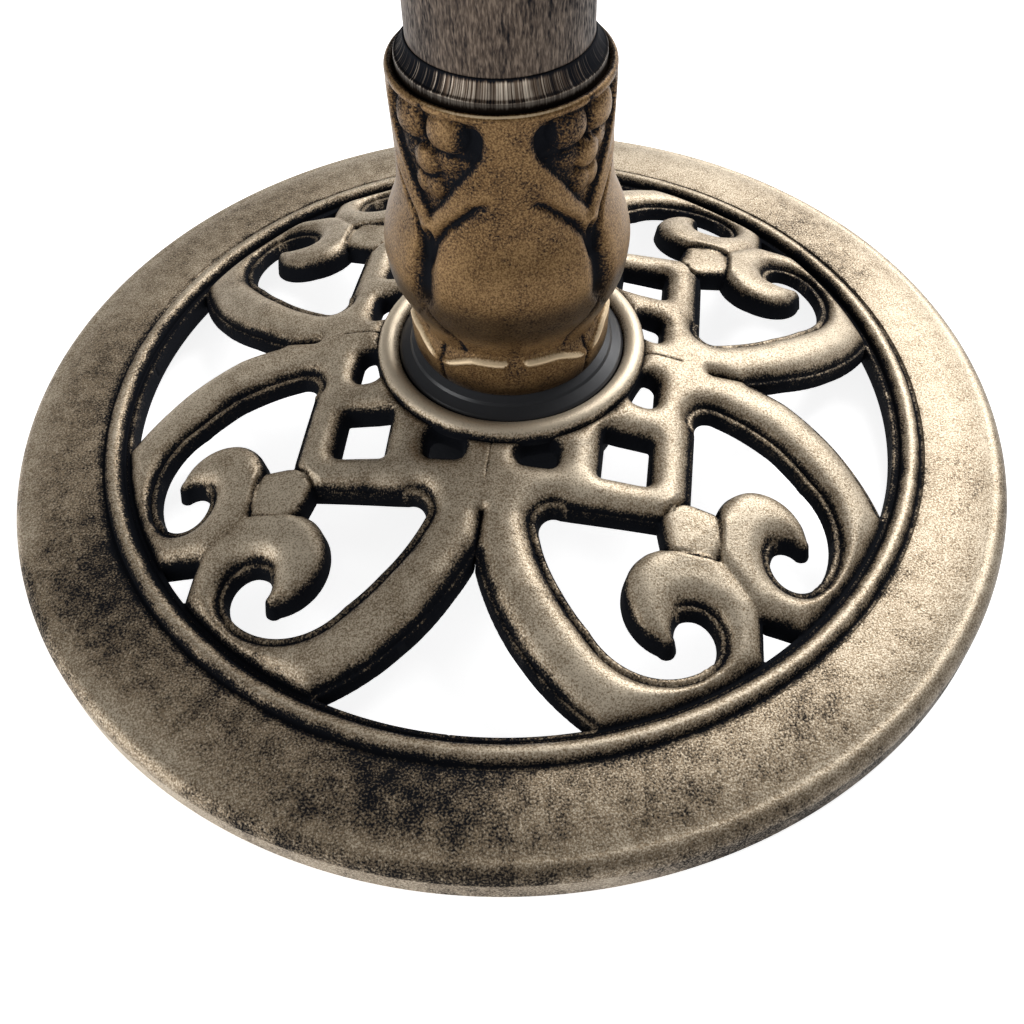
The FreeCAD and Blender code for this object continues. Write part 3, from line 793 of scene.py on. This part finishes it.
    def hub(self, mat: bpy.types.Material) -> bpy.types.Object:
        """Spin the hub: beaded ring, recess, web, and the boss with its hollow underside."""
        z, hr = self.lift, self.hub_r
        hi = hr - 7.3
        pts: list[Point] = [(6.75, z + 34.0), (6.75, z + 46.0), (hi, z + 46.0), (hi, z + 48.6)]
        pts += arc(pts[-1], (hi + 4.1, z + 52.3), (hr + 0.9, z + 48.2), 0.3)
        pts += arc(pts[-1], (hr + 1.2, z + 46.2), (hr + 0.6, z + 44.6), 0.4)
        pts += [(hr - 0.6, z + 38.0), (44.0, z + 33.0), (44.0, z + 10.8), (43.2, z + 10.0), (36.8, z + 10.0),
                (36.0, z + 10.8), (36.0, z + 33.0), (35.0, z + 34.0)]
        piece = lathe("casting_hub", pts, 256)
        co = read_points(piece) / MM
        r = np.hypot(co[:, 0], co[:, 1])
        # the bead's crest reaches the polished colour: rubbed metal, with a painted highlight along it
        wear_and_painted_light = np.interp(r, [hi, hi + 0.8, hi + 2.2, hi + 6.4, hi + 7.6, hr + 1.1], [0.4, 1.1, 1.55, 1.6, 1.0, 0.0])
        wear_and_painted_light = np.where(co[:, 2] - z < 47.0, 0.0, wear_and_painted_light)
        set_layer(piece, "wear_and_painted_light", wear_and_painted_light)
        smooth(piece, 40.0)
        dress(piece, mat)
        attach(piece, "stand")
        return piece

    def build(self, mat: bpy.types.Material) -> list[bpy.types.Object]:
        """Model the whole casting and return its pieces."""
        half = self.half()
        made = [self.rim(mat), self.hub(mat)] + [self.panel(i, half, mat) for i in range(4)]
        for piece in made:
            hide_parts("base_casting")
        return made


# -------- the ornament round the tube
@dataclass
class LeafSleeve:
    """The sleeve with its four-fold leaf relief. Heights are in millimetres over its foot."""

    # millimetres on the surface for each degree round it
    DEGREE = 0.655
    # the relief is drawn with the foot at this height
    DRAWN_FOOT = 55.7

    foot_z: float
    height: float
    inner_r: float
    seat_r: float
    seat_depth: float
    turn: float = 272.0
    shape: tuple[Point, ...] = ((0.0, 36.2), (2.0, 37.0), (8.0, 37.3), (14.0, 36.6), (18.5, 35.4), (23.0, 36.6),
                                (29.0, 39.6), (36.0, 42.4), (43.0, 43.3), (50.0, 43.0), (57.0, 41.4), (64.0, 38.9),
                                (70.0, 37.3), (77.0, 36.5), (88.0, 36.3), (100.0, 36.5), (108.0, 36.6), (112.4, 36.5))

    @staticmethod
    def step(v: np.ndarray, low: float, high: float) -> np.ndarray:
        """Return 0 under low, 1 over high and a smooth step between."""
        t = np.clip((v - low) / (high - low), 0, 1)
        return t * t * (3 - 2 * t)

    @staticmethod
    def segment(u: np.ndarray, z: np.ndarray, pts: Sequence[Point]) -> np.ndarray:
        """Return the distance to a line, in millimetres on the surface.

        Args:
            u: degrees from the middle of the leaf.
            z: height in the drawing.
            pts: the line's corners, in (degrees, height).
        """
        k = LeafSleeve.DEGREE
        best = np.full(u.shape, 1e9)
        for (a, b), (c, d) in zip(pts[:-1], pts[1:]):
            ax, cx = a * k, c * k
            l2 = (cx - ax) ** 2 + (d - b) ** 2
            t = np.clip(((u * k - ax) * (cx - ax) + (z - b) * (d - b)) / l2, 0, 1)
            best = np.minimum(best, np.hypot(u * k - ax - t * (cx - ax), z - b - t * (d - b)))
        return best

    def relief(self, az: np.ndarray, h: np.ndarray) -> tuple[np.ndarray, np.ndarray, np.ndarray]:
        """Return the relief in millimetres, the wear with its painted highlights, and the painted shade.

        Args:
            az: azimuth of each point, in degrees.
            h: its height over the foot, in millimetres.
        """
        z = h + self.DRAWN_FOOT
        w = (az - self.turn + 45.0) % 90.0 - 45.0
        u = np.abs(w)
        rise = np.zeros(u.shape)
        dark = np.zeros(u.shape)

        def ball(cu: float, cz: float, ru: float, rz: float, top: float) -> None:
            """Raise a rounded lobe over whatever lies under it."""
            nonlocal rise
            q = ((u - cu) / ru) ** 2 + ((z - cz) / rz) ** 2
            lobe = -2.0 + (top + 2.0) * np.clip(1 - q, 0, 1) ** 0.6
            both = np.log(np.exp(rise * 3.0) + np.exp(lobe * 3.0)) / 3.0
            rise = both - np.log(2.0) / 3.0 * np.exp(-np.abs(rise - lobe) * 3.0)

        def groove(pts: Sequence[Point], depth: float, width: float, shade: float = 1.0) -> None:
            """Cut a soft groove along a line."""
            nonlocal rise, dark
            d = self.segment(u, z, pts)
            rise -= depth * np.exp(-(d / width) ** 2)
            dark = np.maximum(dark, shade * np.exp(-(d / (width * 0.95)) ** 2))

        # the sunk field between the arms and the rim, filled with curled lobes
        low_edge = np.interp(u, [9.0, 12.0, 14.0, 20.0, 28.0, 36.0, 45.0],
                             [170.0, 160.0, 155.6, 150.8, 144.8, 137.4, 130.4])
        side_edge = 11.8 + 11.0 * np.clip((z - 161.5) / 6.5, 0, 2) ** 2
        field_in = (self.step(z - low_edge, -0.9, 1.5) * self.step(168.4 - z, -0.3, 2.0)
                    * self.step(u - side_edge, -1.0, 2.6))
        sunk = -2.0 * field_in
        rise = sunk.copy()
        ball(32.0, 161.6, 12.5, 6.7, 0.9)
        ball(45.0, 150.2, 9.5, 5.6, 0.8)
        ball(33.0, 151.6, 7.5, 4.2, -0.9)
        ball(41.5, 141.6, 7.0, 5.0, 0.0)
        rise = sunk + (rise - sunk) * field_in
        eye = ((u - 18.6) / 6.8) ** 2 + ((z - 161.0) / 6.0) ** 2
        rise -= 2.0 * np.exp(-eye ** 2)
        dark = np.maximum(dark, np.exp(-(eye / 1.25) ** 2))
        # painted shade: the side of this field that lies in shade is darkened
        dark = np.maximum(dark, 0.62 * field_in * self.step(w, 4.0, 12.0) * (1 - self.step(w, 30.0, 44.0)))
        curl = self.segment(u, z, [(24.0, 166.0), (22.6, 162.0), (24.5, 158.0), (29.0, 156.0)])
        dark = np.maximum(dark, 0.6 * np.exp(-(curl / 0.7) ** 2))
        groove([(45.0, 171.0), (45.0, 156.0)], 1.3, 1.2)
        groove([(39.0, 155.0), (33.0, 155.6), (25.0, 154.6), (19.0, 154.0)], 0.5, 1.1, 0.9)
        groove([(37.0, 146.8), (42.0, 145.2), (45.0, 144.8)], 0.5, 0.8, 0.7)
        # the arm, its lower edge and the big rounded leaf under it
        arm = [(11.0, 139.0), (18.0, 137.0), (26.0, 132.2), (34.0, 127.4), (40.0, 121.5), (42.0, 114.0)]
        groove([(14.0, 156.0), (20.0, 150.8), (28.0, 144.6), (36.0, 137.2), (45.0, 130.2)], 0.7, 1.1, 0.9)
        fade = self.step(u, 8.0, 18.0)
        d = self.segment(u, z, arm)
        below = z < np.interp(u, [p[0] for p in arm[:5]], [p[1] for p in arm[:5]])
        rise -= fade * 1.7 * np.exp(-(d / 1.25) ** 2)
        dark = np.maximum(dark, fade * 0.95 * np.exp(-(d / 1.15) ** 2))
        rise += np.where(below, 0.0, 0.6 * fade * np.exp(-((d - 3.4) / 2.2) ** 2))
        gap_w = np.interp(z, [92.0, 100.0, 108.0, 118.0, 124.0], [2.0, 3.6, 3.4, 2.6, 1.6])
        side = (45.0 - u) * self.DEGREE
        cut = self.step(z, 93.0, 101.0) * self.step(127.0 - z, 0.0, 4.0)
        rise -= cut * 3.0 * np.exp(-(side / gap_w) ** 2)
        dark = np.maximum(dark, cut * np.exp(-(side / (gap_w * 0.9)) ** 2))
        knot = np.hypot(side, z - 126.6)
        rise += 1.3 * np.exp(-(knot / 2.3) ** 2)
        dark = dark * (1 - 0.8 * np.exp(-(knot / 2.0) ** 2))
        # the leaf's full lower face and the foot's turned tips
        belly = self.step(z, 96.0, 106.0) * self.step(126.0 - z, 0.0, 10.0) * self.step(side, 2.0, 8.0)
        rise += 0.5 * belly
        tip = 72.6 - 4.6 * self.step(u, 22.0, 44.0)
        on = self.step(u, 2.5, 7.5)
        over = z - tip
        rise += on * (0.8 * self.step(-over, -1.2, 0.6) * self.step(over, -11.0, -2.0)
                      + 0.9 * np.exp(-((over + 0.9) / 1.25) ** 2))
        groove([(45.0, 72.5), (45.0, 57.0)], 1.0, 0.9, 0.8)
        groove([(45.0, 95.0), (37.0, 88.0), (32.0, 80.0), (30.0, 74.5)], 0.6, 1.0, 0.6)
        rise += 0.55 * self.step(z, 73.0, 78.0) * self.step(93.0 - z, 0.0, 6.0) * self.step(u, 33.0, 38.0)
        # a bright line along the tips' edges, polished metal and a painted highlight; it also lifts the painted shade
        # there
        lip = np.exp(-((over + 0.6) / 0.95) ** 2) * on * self.step(44.0 - u, 0.0, 9.0)
        # the neck under the bulge, where shade is painted
        neck = self.step(105.0 - z, 0.0, 9.0) * self.step(z, 78.0, 90.0)
        wear_and_painted_light = np.clip(0.80 + 0.22 * rise, 0.1, 1.0) * (1 - 0.95 * np.clip(dark, 0, 1)) + 0.95 * lip
        # painted shade under the bulge, and darker towards the foot
        painted_shade = np.clip(0.72 * neck + 0.75 * self.step(66.0 - z, 0.0, 8.0), 0, 0.85) * (1 - 0.8 * lip)
        return rise, wear_and_painted_light, painted_shade

    def build(self, mat: bpy.types.Material) -> bpy.types.Object:
        """Spin the sleeve and press the leaves into it."""
        top, n = self.height, 205
        knots = np.array(self.shape)
        fine = np.linspace(0.0, 1.0, n)
        h = fine * (top - 2.5)
        # a smooth curve through the shape's points
        t, v = knots[:, 0], knots[:, 1]
        m = np.gradient(v, t)
        i = np.clip(np.searchsorted(t, h, side="right") - 1, 0, len(t) - 2)
        d = t[i + 1] - t[i]
        f = (h - t[i]) / d
        r = ((2 * f ** 3 - 3 * f ** 2 + 1) * v[i] + (f ** 3 - 2 * f ** 2 + f) * d * m[i]
             + (-2 * f ** 3 + 3 * f ** 2) * v[i + 1] + (f ** 3 - f ** 2) * d * m[i + 1])
        z0 = self.foot_z
        pts: list[Point] = [(float(a), z0 + float(b)) for a, b in zip(r, h)]
        pts += arc(pts[-1], (36.2, z0 + top - 0.7), (35.2, z0 + top), 0.5)
        pts += [(34.6, z0 + top - 0.15), (self.seat_r, z0 + top - 1.2), (self.seat_r, z0 + top - self.seat_depth),
                (self.inner_r, z0 + top - self.seat_depth), (self.inner_r, z0)]
        piece = lathe("leaf_sleeve", pts, 440)
        co = read_points(piece) / MM
        rr = np.hypot(co[:, 0], co[:, 1])
        hh = co[:, 2] - z0
        az = np.degrees(np.arctan2(co[:, 1], co[:, 0]))
        rise, wear_and_painted_light, painted_shade = self.relief(az, hh)
        outer = np.where(rr > 35.3, 1.0, 0.0) * np.clip((top - 1.0 - hh) / 2.0, 0, 1) * np.clip(hh / 1.0, 0, 1)
        new = rr + rise * outer
        co[:, 0] *= new / rr
        co[:, 1] *= new / rr
        write_points(piece, co * MM)
        # painted highlight: a bright line along the top edge, strongest at the front
        rim = np.exp(-((hh - top + 0.35) / 0.42) ** 2) * (0.45 + 0.55 * np.exp(-(((az + 92.0) / 38.0) ** 2)))
        set_layer(piece, "wear_and_painted_light", np.where(rr > 35.2, np.maximum(wear_and_painted_light, 2.0 * rim), 0.3))
        # painted shade over the relief, cleared on that line, and 0.7 painted shade on the inner faces
        set_layer(piece, "painted_shade", np.where(rr > 35.2, painted_shade * (1 - rim), 0.7))
        smooth(piece, 60.0)
        dress(piece, mat)
        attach(piece, "stand")
        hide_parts("column_sleeve")
        return piece


@dataclass
class CoveCollar:
    """The turned collar that closes the sleeve's mouth round the tube, in millimetres."""

    low: float
    rim: float
    top: float
    inner_r: float
    outer_r: float

    def build(self, mat: bpy.types.Material) -> bpy.types.Object:
        """Spin the collar: upright band, rounded shoulder and cove."""
        band = self.rim + 3.0
        pts: list[Point] = [(self.inner_r, self.low), (self.outer_r, self.low), (self.outer_r, self.rim)]
        pts += line(pts[-1], (self.outer_r, band - 0.8), 0.8)
        pts += arc(pts[-1], (self.outer_r - 0.25, band - 0.2), (self.outer_r - 0.8, band), 0.25)
        pts += arc(pts[-1], (self.inner_r + 1.7, self.rim + 4.9), (self.inner_r + 0.5, self.top - 0.2), 0.3)
        pts += [(self.inner_r + 0.2, self.top), (self.inner_r, self.top)]
        piece = lathe("cove_collar", pts, 256)
        co = read_points(piece) / MM
        az = np.degrees(np.arctan2(co[:, 1], co[:, 0])) % 360.0
        # painted highlight: the cove brightened at the front
        front_lighting = np.exp(-((az - 268.0) / 27.0) ** 2)
        z = co[:, 2] - self.rim
        cove = np.interp(z, [2.0, 3.4, 7.0, 8.0], [0.0, 1.0, 0.85, 0.1])
        band_wear = np.interp(z, [0.5, 1.0, 2.4, 3.0], [0.0, 1.0, 1.0, 0.0])
        set_layer(piece, "wear_and_painted_light", np.maximum(cove * (0.2 + 0.84 * front_lighting), band_wear))
        # painted shade on the band under the cove
        set_layer(piece, "painted_shade", np.interp(z, [2.2, 3.2], [0.9, 0.0]))
        smooth(piece, 45.0)
        dress(piece, mat)
        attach(piece, "stand")
        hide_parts("tube_collar")
        return piece


# -------- studio
@dataclass(frozen=True)
class Lamp:
    """One soft square light that looks at the object."""

    name: str
    at: tuple[float, float, float]
    size: float
    power: float
    target: tuple[float, float, float] = (0.0, 0.0, 0.08)

    def hang(self) -> None:
        """Add the light to the scene."""
        bpy.ops.object.light_add(type="AREA", location=self.at)
        lamp = bpy.context.object
        lamp.name = self.name
        lamp.data.shape = "SQUARE"
        lamp.data.size = self.size
        lamp.data.energy = self.power
        lamp.rotation_euler = (Vector(self.target) - Vector(self.at)).to_track_quat("-Z", "Y").to_euler()


@dataclass(frozen=True)
class Camera:
    """The view: angles in degrees, lengths in metres, focal length and shifts in widths of the frame."""

    elevation: float = 47.29
    roll: float = 2.08
    pan: float = 1.503
    tilt: float = -2.693
    distance: float = 2.3969 * 0.2
    aim_height: float = 0.0025
    focal: float = 1123.1 / 1024
    shift: Point = (-33.9 / 1024, -34.5 / 1024)
    sensor: float = 36.0

    def place(self) -> None:
        """Add the camera and make it the scene's own."""
        e, roll = math.radians(self.elevation), math.radians(self.roll)
        pan, tilt = math.radians(self.pan), math.radians(self.tilt)
        at = Vector((0.0, -self.distance * math.cos(e), self.distance * math.sin(e)))
        fwd = -at.normalized()
        right = Vector((1, 0, 0))
        up = right.cross(fwd)
        f1 = fwd * math.cos(tilt) + up * math.sin(tilt)
        u1 = up * math.cos(tilt) - fwd * math.sin(tilt)
        f2 = f1 * math.cos(pan) + right * math.sin(pan)
        r1 = right * math.cos(pan) - f1 * math.sin(pan)
        r2 = r1 * math.cos(roll) - u1 * math.sin(roll)
        u2 = r1 * math.sin(roll) + u1 * math.cos(roll)
        cam = bpy.data.cameras.new("camera")
        cam.sensor_width = self.sensor
        cam.lens = self.focal * self.sensor
        cam.shift_x, cam.shift_y = self.shift
        cam.clip_start = 0.01
        obj = bpy.data.objects.new("camera", cam)
        bpy.context.scene.collection.objects.link(obj)
        m = Matrix((r2, u2, -f2)).transposed().to_4x4()
        m.translation = at + Vector((0, 0, self.aim_height))
        obj.matrix_world = m
        bpy.context.scene.camera = obj


@dataclass(frozen=True)
class Studio:
    """Floor, light and camera."""

    floor_size: float = 30.0
    floor_grey: float = 0.92
    floor_glow: float = 0.86
    world_light: float = 0.19
    lamps: tuple[Lamp, ...] = (Lamp("key", (0.95, 1.15, 1.36), 1.6, 43.0), Lamp("fill", (-1.9, -0.9, 0.5), 1.2, 17.0))
    camera: Camera = Camera()

    def build(self) -> None:
        """Lay the floor, hang the lights and set the camera."""
        deselect_all()
        bpy.ops.mesh.primitive_plane_add(size=self.floor_size, location=(0, 0, 0))
        floor = bpy.context.object
        floor.name = "floor"
        mat = bpy.data.materials.new("floor_paper")
        mat.use_nodes = True
        s = mat.node_tree.nodes["Principled BSDF"]
        s.inputs["Base Color"].default_value = (self.floor_grey, self.floor_grey, self.floor_grey, 1)
        s.inputs["Roughness"].default_value = 0.9
        s.inputs["Specular IOR Level"].default_value = 0.1
        s.inputs["Emission Color"].default_value = (1, 1, 1, 1)
        s.inputs["Emission Strength"].default_value = self.floor_glow
        floor.data.materials.append(mat)
        for lamp in self.lamps:
            lamp.hang()
        world = bpy.data.worlds.new("studio")
        world.use_nodes = True
        world.node_tree.nodes["Background"].inputs["Color"].default_value = (1, 1, 1, 1)
        world.node_tree.nodes["Background"].inputs["Strength"].default_value = self.world_light
        bpy.context.scene.world = world
        bpy.context.scene.view_settings.view_transform = "Standard"
        self.camera.place()


def main() -> None:
    """Build the whole parasol base on its frame."""
    logging.basicConfig(level=logging.INFO, format="%(message)s")
    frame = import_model()
    lo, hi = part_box("base_casting")
    bronze = Coat.CAST.value.make()
    made = CastBase(lift=lo.z / MM, rim_r=hi.x / MM).build(bronze)
    s_lo, s_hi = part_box("column_sleeve")
    c_lo, c_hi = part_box("tube_collar")
    tube_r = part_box("stand_tube")[1].y / MM
    sleeve = LeafSleeve(foot_z=s_lo.z / MM, height=(s_hi.z - s_lo.z) / MM, inner_r=tube_r + SLEEVE_GAP,
                        seat_r=c_hi.y / MM + SLEEVE_GAP, seat_depth=(s_hi.z - c_lo.z) / MM)
    made.append(sleeve.build(Coat.SLEEVE.value.make()))
    collar = CoveCollar(low=c_lo.z / MM, rim=s_hi.z / MM, top=c_hi.z / MM, inner_r=tube_r + COLLAR_GAP,
                        outer_r=c_hi.y / MM)
    made.append(collar.build(Coat.COLLAR.value.make()))
    for piece in made:
        log.info("%s: %d points", piece.name, len(piece.data.vertices))
    finish_nodes(frame["nodes"])
    Studio().build()


if __name__ == "__main__":
    main()
